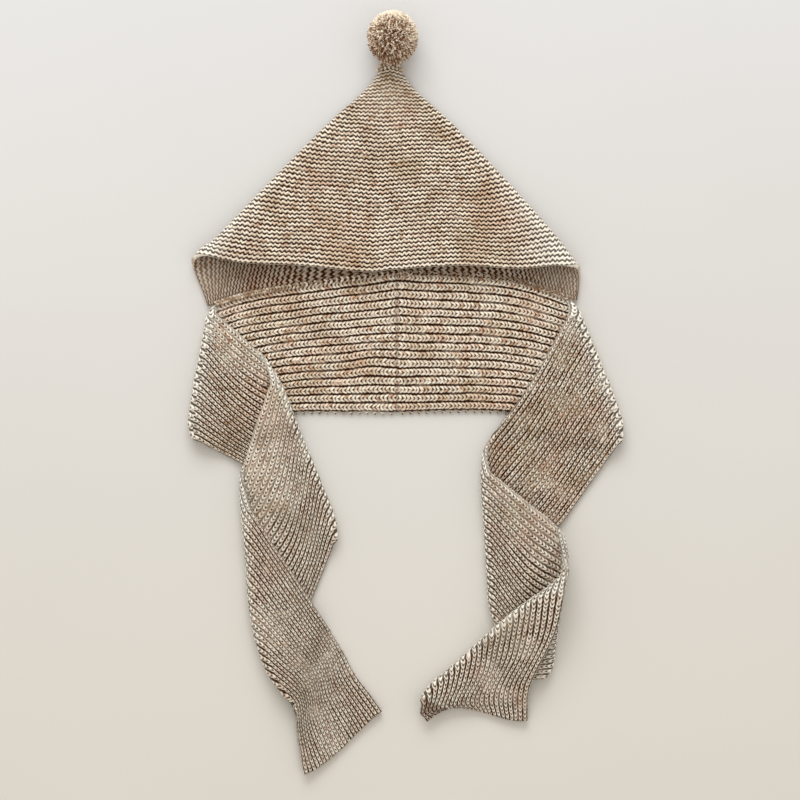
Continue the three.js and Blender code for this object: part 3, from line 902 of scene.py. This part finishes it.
# The hood.
# One rectangle of garter stitch, folded at the crown and sewn up the back. Laid flat, its
# ridges run across the front, turn at the two slanting folds and run down the back.
hood_wall = 0.004
mouth_lift = 0.018
left_bow = 0.0018
right_bow = 0.0036
chin_bulge = 0.0026
neck_steps = 12
left_face_edge = [(0, 0), (0.13, -0.01), (0.47, 0.02), (0.74, 0.03), (0.92, 0.053), (1.02, 0.053)]
right_face_edge = [(0, 0), (0.37, 0.02), (0.69, 0.005), (0.9, 0.03), (0.99, 0.038)]
peak = nape + np.array([-peak_offset, back_seam])
ridge_count = 49
rows_a_ridge = 4
stitches_a_ridge = 50
inner_count = 0.74
panel_rows = 40
turn_rows = 15
rows_past_turn = panel_rows + turn_rows
blunt_width = 0.0105
blunt_depth = 0.017
chevron_slope = 0.4
chevron_depth = 0.028
ridge_height = 0.0007
ridge_wave = 0.17
ridge_base = 0.0005


def neck_place(runs, a):
    """The hood's neck edge, along the scarf, at a share a of the way to a chin corner."""
    a = np.asarray(a, float)
    share = flat_shares(runs, 0, np.array([1.0]), False)[1][0] * neck_steps / (neck_steps - 1)
    place = lie_place(runs[0], np.minimum(1, a * share), 1.0 + 0 * a)
    place[..., 1] += gap_between_pieces + 0.35 * scarf_wall * a ** 8
    return place


def panel_gap(a, s):
    """How far apart the middles of the front and the back lie."""
    return hood_wall + gap_between_pieces + mouth_lift * a ** 1.5 * (0.45 + 0.55 * s * s)


def smooth_line(points, share):
    """A smooth line through points, at a share of it."""
    points = np.asarray(points, float)
    padded = np.concatenate([[2 * points[0] - points[1]], points, [2 * points[-1] - points[-2]]])
    at = np.clip(np.asarray(share, float) * (len(points) - 1), 0, len(points) - 1)
    first = np.minimum(np.floor(at).astype(int), len(points) - 2)
    w = (at - first)[..., None]
    return through_points([padded[first + step] for step in range(4)], w)


def hood_half(face_edge, runs, towards, bow, a):
    """One row of the hood from the crown over the side fold to the neck edge, as dense
    places, at a share a of the way from the peak to the face."""
    edge = [(towards * x * hood_reach, -crown_length * (1 - lift)) for x, lift in face_edge]
    corner = np.array(edge[-1])
    outward = unit(np.array([-corner[1] * towards, corner[0] * towards]))

    def front(s):
        s = np.asarray(s, float)
        line = peak + a * smooth_line(edge, s)
        return line + outward * (4 * a * (1 - a) * bow * s)[..., None]

    on_fold = front(1.0)
    on_neck = neck_place(runs, 1.1 * a - 0.1 * a ** 5)

    def back(d):
        d = np.asarray(d, float)[..., None]
        return on_fold + (on_neck - on_fold) * d + outward * chin_bulge * a ** 6 * 4 * d * (1 - d)

    radius = panel_gap(a, 1.0) / 2
    bottom = hood_wall / 2
    step = 0.01
    steep = (front(1.0) - front(1 - step)) @ outward / step
    depth = -((on_neck - on_fold) @ outward)
    s = np.linspace(0, 1 - (bottom + radius) / steep, panel_rows)
    upper = np.column_stack([front(s), bottom + panel_gap(a, s)])
    angle = np.pi * np.arange(1, turn_rows + 1) / (turn_rows + 1)
    inset = bottom + radius * (1 - np.sin(angle))
    first = angle <= np.pi / 2
    plan = np.where(first[:, None], front(1 - inset / steep), back(inset / depth))
    gap = panel_gap(a, np.where(first, 1 - inset / steep, 1.0))
    turn = np.column_stack([plan, bottom + gap - radius * (1 - np.cos(angle))])
    d = np.linspace((bottom + radius) / depth, 1, panel_rows)
    lower = np.column_stack([back(d), np.full(panel_rows, bottom)])
    return np.concatenate([upper, turn, lower])


# Small pulls near the chin corners: pixel x, y and reach, and the shift in metres.
corner_pulls = [
    (194, 268, 15, -0.0038, 0.0),
    (203, 254, 12, -0.0004, 0.0034),
    (572, 262, 17, 0.0, -0.0034),
]


def hood_grid(face_edge, runs, towards, bow):
    """The middle surface of half a hood on a grid of ridges and stitches, and how many
    metres each place lies past the side fold."""
    rows = ridge_count * rows_a_ridge
    tip_share = 1 / neck_steps
    tip_line = hood_half(face_edge, runs, towards, bow, tip_share)
    start_line = tip_line.copy()
    start_line[:rows_past_turn, :2] = peak - np.array([0, hood_wall / 2])
    start_line[:rows_past_turn, 2] = hood_wall / 2 + panel_gap(0, 1) / 2
    down = np.linspace(0, 1, panel_rows + 1)[1:, None]
    start_line[rows_past_turn:, :2] = peak + (neck_place(runs, 0.0) - peak) * down
    places = []
    past_fold = []
    for row in range(rows + 1):
        a = row / rows
        if a < tip_share:
            line = start_line + (tip_line - start_line) * (a / tip_share)
        else:
            line = hood_half(face_edge, runs, towards, bow, a)
        # The peak is drawn up into the tie: it is blunt, and its ridges hang in chevrons.
        below = np.maximum(peak[1] - line[:, 1], 0)
        aside = line[:, 0] - peak[0]
        reach_now = np.maximum(below * hood_reach / crown_length, 0.0004)
        line[:, 0] += aside / reach_now * blunt_width * np.exp(-(below / blunt_depth) ** 1.3)
        hang = chevron_slope * np.exp(-(below / chevron_depth) ** 2)
        line[:, 1] -= np.abs(line[:, 0] - peak[0]) * hang
        # The chin corners are round.
        for x, y, wide, shift_x, shift_y in corner_pulls:
            near = near_spot(line, x, y, wide * pixel)
            line[:, :2] += near[:, None] * np.array([shift_x, shift_y])
        reach = np.concatenate([[0], np.cumsum(np.linalg.norm(np.diff(line, axis=0), axis=1))])
        at = np.linspace(0, reach[-1], 2 * stitches_a_ridge + 1)
        places.append(np.column_stack([np.interp(at, reach, line[:, k]) for k in range(3)]))
        past_fold.append(at - reach[panel_rows + turn_rows // 2])
    return np.array(places), np.array(past_fold)


left_hood, left_past = hood_grid(left_face_edge, left_runs, -1, left_bow)
right_hood, right_past = hood_grid(right_face_edge, right_runs, 1, right_bow)
right_hood[:, 0] = left_hood[:, 0]
right_hood[0] = left_hood[0]
ridge_number = np.arange(ridge_count * rows_a_ridge + 1) / rows_a_ridge
stitch_number = np.arange(2 * stitches_a_ridge + 1) / 2


def garter_relief(shape, share):
    """Garter ridges in relief, as many as the share says."""
    wave = np.cos(2 * np.pi * stitch_number)[None, :]
    phase = (ridge_number[:, None] * share + ridge_wave * wave) % 1
    crest = 1 - np.abs(2 * phase - 1) ** 2
    return ridge_height * crest * (1 + 0.25 * slow_noise(shape, (50, 25)))


# Painted highlights on the two front corners: pixel x, y and size.
painted_highlight_spots = [(560, 250, 26), (208, 248, 17)]
# Where the ridges lie closed, below the peak and inside the chin corners.
closed_peak = (391, 92)
closed_corners = [(207, 283), (571, 286)]
closed_reach = 28 * pixel


def hood_marks(grid, past_fold, spread):
    """The painted highlight, the painted shade, and how far the ridges stand open."""
    # Painted highlights lie along the side folds, wider towards the face, and faintly along the face
    # edge, but not on the inside past the fold.
    towards_face = ridge_number[:, None] / ridge_number[-1]
    from_face = (ridge_number[-1] - ridge_number)[:, None] / 0.7
    from_fold = past_fold / (0.0035 + spread * towards_face ** 3)
    painted_highlight = np.maximum(np.exp(-from_fold ** 2), 0.3 * np.exp(-from_face ** 2))
    painted_highlight = painted_highlight * (0.5 + 0.5 * towards_face ** 2)
    under = np.clip((past_fold - 0.001) / 0.004, 0, 1)
    for x, y, size in painted_highlight_spots:
        painted_highlight = np.maximum(painted_highlight, near_spot(grid, x, y, size * pixel))
    painted_highlight = painted_highlight * (1 - 0.85 * under)
    # Painted shade lies on the inside past the fold, darkest by the nape.
    by_nape = near_spot(grid, 389, 271, np.array([0.014, 0.0035]))
    painted_shade = np.maximum(by_nape, 0.45) * under
    opened = 1 - 0.28 * near_spot(grid, *closed_peak, closed_reach)
    for corner in closed_corners:
        opened -= 0.6 * near_spot(grid, *corner, closed_reach) * under
    return painted_highlight, painted_shade, opened


def hood_faces(grids, all_marks):
    """Outer and inner faces and the rims of both halves, as one closed wall."""
    places = []
    marks = {"painted_highlight": [], "painted_shade": [], "opened": []}
    faces = []
    uvs = []
    number = {}
    for half, grid in enumerate(grids):
        soft = soften(grid, 2)
        up = surface_normals(soft)
        up = up * np.sign(up[-1, 4, 2])
        up[0] = up[1]
        bump, inner_bump = (
            (hood_wall / 2 - ridge_base + garter_relief(grid.shape[:2], share))[..., None]
            for share in (1.0, inner_count)
        )
        rows, columns = grid.shape[:2]
        outer = np.arange(rows * columns).reshape(rows, columns) + sum(len(p) for p in places)
        inner = outer + rows * columns
        places += [(soft + up * bump).reshape(-1, 3), (soft - up * inner_bump).reshape(-1, 3)]
        number[half] = (outer, inner)
        for mark, values in zip(marks, all_marks[half]):
            marks[mark] += [values.ravel(), values.ravel()]
        stitch, ridge = np.meshgrid(stitch_number + 100 * half, ridge_number)
        for index, over, share in ((outer, half == 1, 1), (inner, half == 0, inner_count)):
            quads = np.stack([index[:-1, :-1], index[1:, :-1], index[1:, 1:], index[:-1, 1:]], -1)
            uv = np.stack([stitch, ridge * share], -1)
            corners = np.stack([uv[:-1, :-1], uv[1:, :-1], uv[1:, 1:], uv[:-1, 1:]], 2)
            quads = quads.reshape(-1, 4)
            corners = corners.reshape(-1, 4, 2)
            if not over:
                quads = quads[:, ::-1]
                corners = corners[:, ::-1]
            faces.append(quads)
            uvs.append(corners.reshape(-1, 2))
        rims = ((outer[-1], inner[-1], half == 0), (outer[:, -1], inner[:, -1], half == 1))
        for a, b, over in rims:
            quads = np.stack([a[:-1], b[:-1], b[1:], a[1:]], -1)
            quads = quads[:, ::-1] if over else quads
            faces.append(quads)
            uvs.append(np.tile([0.25, 0.5], (quads.size, 1)))
    places = np.concatenate(places)
    faces = np.concatenate(faces)
    for layer in (0, 1):
        a, b = number[0][layer], number[1][layer]
        same = dict(zip(b[:, 0], a[:, 0])) | dict(zip(b[0], a[0]))
        for old, new in same.items():
            places[new] = (places[new] + places[old]) / 2
            places[old] = places[new]
    marks = {mark: np.concatenate(values) for mark, values in marks.items()}
    return places, faces, np.concatenate(uvs), marks


# How far the painted highlights along the side folds spread towards the face.
left_highlight_width = 0.018
right_highlight_width = 0.036
both_marks = [
    hood_marks(left_hood, left_past, left_highlight_width),
    hood_marks(right_hood, right_past, right_highlight_width),
]
hood_places, hood_quads, hood_uvs, marks = hood_faces([left_hood, right_hood], both_marks)
hood_cloth = mesh_piece("hood_cloth", hood_places, hood_quads, hood_uvs, marks=marks)
close_holes(hood_cloth)
hood_cloth.data.materials.append(garter_material("garter_wool"))
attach(hood_cloth, "root")
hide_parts("hood")

# The neck seam.
# The neck edge and the scarf's edge are joined by a whipped seam, which stands up as a
# ridge of slanting stitches.


def yarn_stitches(name, starts, ends, radii, tones):
    """Many plump six-sided stitches, each from its start to its end, as one mesh."""
    sides = 6
    profile = [(0.0, 0.4), (0.3, 0.95), (0.72, 0.95), (1.0, 0.4)]
    starts = np.asarray(starts, float)
    ends = np.asarray(ends, float)
    line = ends - starts
    along = unit(line)
    helper = np.where(np.abs(along[:, 2:3]) > 0.9, [[1.0, 0, 0]], [[0, 0, 1.0]])
    first = unit(np.cross(along, helper))
    second = np.cross(along, first)
    angle = 2 * np.pi * np.arange(sides) / sides
    ring = first[:, None] * np.cos(angle)[:, None] + second[:, None] * np.sin(angle)[:, None]
    rings = []
    for share, width in profile:
        centre = starts + line * share
        rings.append(centre[:, None] + ring * (np.asarray(radii) * width)[:, None, None])
    places = np.stack(rings, 1)
    count = len(starts)
    per = len(profile) * sides
    base = (np.arange(count) * per)[:, None]
    quads = []
    for number in range(len(profile) - 1):
        a = number * sides + np.arange(sides)
        b = number * sides + (np.arange(sides) + 1) % sides
        quads.append(np.stack([a, a + sides, b + sides, b], -1))
    last = (len(profile) - 1) * sides
    quads.append(np.array([[0, 1, 2, 3], [0, 3, 4, 5], [last + 3, last + 2, last + 1, last],
                           [last + 5, last + 4, last + 3, last]]))
    quads = np.concatenate(quads)
    faces = (base[:, :, None] + quads[None]).reshape(-1, 4)
    return mesh_piece(name, places.reshape(-1, 3), faces, marks={"tone": np.repeat(tones, per)})


def strand_material(name, darkest):
    """Loose strands of the same yarn. Each has its own tone, and its two plies speckle it."""
    material, shader, place, _ = new_material(name)
    speckle = place.noise(650.0, 2.0, 0.6)
    share = (speckle * 0.8 + place.mark("tone") * 0.75).ramp(0.5, 1.05)
    share.mix(darkest, cream).feed(shader, "Base Color")
    place.noise(1400.0, 2.0, 0.6).bump(0.6, 0.0005).feed(shader, "Normal")
    set_inputs(shader, wool_finish)
    return material


seam_lift = 0.0015
seam_height = max(scarf_wall, hood_wall) + gap_between_pieces + seam_lift
seam_half_width = 0.0024
seam_reach = 0.93
seam_stitches = 52
stitch_lean = 0.0028
shares = np.linspace(0, seam_reach, seam_stitches)
left_line = neck_place(left_runs, shares)
right_line = neck_place(right_runs, shares)
line = np.concatenate([left_line[:0:-1], right_line])
# Left of the nape the ridge winds a little, and is paler, here in millimetres.
from_nape = (line[:, 0] - nape[0]) * 1000
paler_ridge_tone = 0.35 * np.exp(-((from_nape + 46) / 24) ** 2)
line[:, 1] += 0.0007 * np.sin(from_nape / 5) * np.exp(-((from_nape + 32) / 22) ** 2)
line = np.column_stack([line, np.full(len(line), seam_height)])
travel = unit(np.gradient(line, axis=0))
aside = np.cross([0, 0, 1.0], travel)
seam_starts = np.concatenate([line - aside * seam_half_width, line + aside * seam_half_width])
seam_ends = np.concatenate([line + travel * stitch_lean] * 2)
# A loop of yarn lies on the seam beside the nape.
loop_steps = 11
loop_turn = np.linspace(-2.6, 2.6, loop_steps + 1)
loop_line = np.column_stack([
    nape[0] + 0.0068 + 0.0042 * np.cos(loop_turn),
    nape[1] - 0.0022 + 0.0022 * np.sin(loop_turn),
    np.full(loop_steps + 1, seam_height + 0.0004),
])
seam_starts = np.concatenate([seam_starts, loop_line[:-1]])
seam_ends = np.concatenate([seam_ends, loop_line[1:] + 0.5 * (loop_line[1:] - loop_line[:-1])])
# The stitches are plumper on the left than on the right.
on_left = np.tile(smooth((nape[0] - line[:, 0]) / 0.02 + 0.5), 2)
seam_radii = np.concatenate([0.0006 + 0.0005 * on_left, np.full(loop_steps, 0.0009)])
seam_tones = np.concatenate([np.tile(0.36 + paler_ridge_tone, 2), np.full(loop_steps, 0.45)])
seam_tones = seam_tones + seed.uniform(-0.2, 0.2, len(seam_tones))
seam = yarn_stitches("seam_stitches", seam_starts, seam_ends, seam_radii, seam_tones)
strand_wool = strand_material("seam_wool", linear(148, 118, 90))
seam.data.materials.append(strand_wool)
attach(seam, "root")
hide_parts("neck_seam")

# The pompom.
# Some four thousand cut ends of yarn stand out of a tied ball, and its neck of yarn is
# wrapped and tied off at the peak of the hood.
pompom_low, pompom_high = (np.array(corner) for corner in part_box("pompom"))
ball_centre = (pompom_low + pompom_high) / 2
ball_half = (pompom_high - pompom_low) / 2
tuft_count = 4200
tuft_length = 0.0075
lowest_tuft = 0.0012
lowest_core = 0.0015
core_share = 0.86
# The tufts are spread evenly over the ball, each a little off its place and aslant.
level = 1 - 2 * (np.arange(tuft_count) + 0.5) / tuft_count
around = np.arange(tuft_count) * math.pi * (3 - math.sqrt(5))
flat_ring = np.sqrt(1 - level * level)
ways = np.column_stack([flat_ring * np.cos(around), flat_ring * np.sin(around), level])
ways = unit(ways + seed.normal(0, 0.045, ways.shape))
lean = unit(ways + seed.normal(0, 0.22, ways.shape))
lengths = seed.uniform(0.9, 1.0, tuft_count)
tips = ball_centre + ways * ball_half * lengths[:, None]
roots = tips - lean * tuft_length
tips[:, 1] -= 0.0009
tips[:, 2] = np.maximum(tips[:, 2], lowest_tuft)
roots[:, 2] = np.maximum(roots[:, 2], lowest_tuft)
# Their tones carry a painted highlight round the rim and on the window's side.
rim = np.hypot(ways[:, 0], ways[:, 1]) ** 3
painted_rim_light = 0.3 * rim * (0.7 + 0.5 * ways[:, 1]) + 0.1 * (ways[:, 1] + 0.5 * ways[:, 0])
tones = np.clip(seed.uniform(0.05, 0.72, tuft_count) + painted_rim_light, 0, 1)
tufts = yarn_stitches("pompom_tufts", roots, tips, seed.uniform(0.00075, 0.001, tuft_count), tones)
tufts.data.materials.append(strand_material("pompom_wool", linear(132, 90, 56)))
bpy.ops.object.select_all(action="DESELECT")
bpy.ops.mesh.primitive_ico_sphere_add(subdivisions=4, radius=1, location=(0, 0, 0))
core = bpy.context.object
core.name = "pompom_core"
core.data.transform(Matrix.Diagonal((*(ball_half * core_share), 1)))
core.data.transform(Matrix.Translation(ball_centre))
for vertex in core.data.vertices:
    vertex.co.z = max(vertex.co.z, lowest_core)
# The core is painted dark brown: painted shade deep among the tufts.
core_shade_paint, shader, inside, _ = new_material("pompom_core_shade")
inside.noise(700.0).mix(linear(46, 32, 20), linear(92, 68, 46)).feed(shader, "Base Color")
set_inputs(shader, {"Roughness": 0.95})
core.data.materials.append(core_shade_paint)
for piece in (tufts, core):
    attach(piece, "root")
    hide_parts("pompom")

# The neck of yarn between the peak and the pompom is wound seven times round, and below it
# the top rows of the hood are gathered in three rings.
tie_middle = (np.array(tie_low) + np.array(tie_high)) / 2
winds = 7
steps_a_wind = 14
neck_radius = 0.0022
neck_end_gap = 0.0008
neck_length = tie_high[1] - tie_low[1] - 2 * neck_end_gap
winding_radius = 0.0011
gather_radius = 0.0012
gather_rings = 3
gathers = 19
gather_step = 0.0026
turns = np.linspace(0, winds * 2 * math.pi, winds * steps_a_wind)
coil = np.column_stack([
    tie_middle[0] + neck_radius * np.cos(turns),
    tie_low[1] + neck_end_gap + neck_length * np.linspace(0, 1, len(turns)),
    tie_middle[2] + neck_radius * np.sin(turns),
])
gather_starts = []
gather_ends = []
for ring in range(gather_rings):
    for number in range(gathers):
        turn = 2 * math.pi * (number + 0.5 * (ring % 2)) / gathers
        wide = 0.0070 + 0.0018 * ring
        hang = 0.0011 * abs(math.cos(turn)) * (ring + 0.5)
        x = tie_middle[0] + wide * math.cos(turn)
        y = peak[1] + gather_step - gather_step * ring - hang
        z = tie_middle[2] + 0.0042 * math.sin(turn)
        gather_starts.append([x, y, z])
        gather_ends.append([x + 0.0016 * math.cos(turn), y - 0.0032, z])
gather_tones = seed.uniform(0.2, 0.8, len(gather_starts))
gather_radii = np.full(len(gather_starts), gather_radius)
gathered = yarn_stitches("gathered_peak", gather_starts, gather_ends, gather_radii, gather_tones)
wound_ends = coil[1:] + (coil[1:] - coil[:-1]) * 0.4
wound_tones = seed.uniform(0.5, 1.0, len(wound_ends))
wound_radii = np.full(len(wound_ends), winding_radius)
wound = yarn_stitches("neck_winding", coil[:-1], wound_ends, wound_radii, wound_tones)
for piece in (gathered, wound):
    piece.data.materials.append(strand_wool)
    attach(piece, "root")
    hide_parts("pompom_tie")
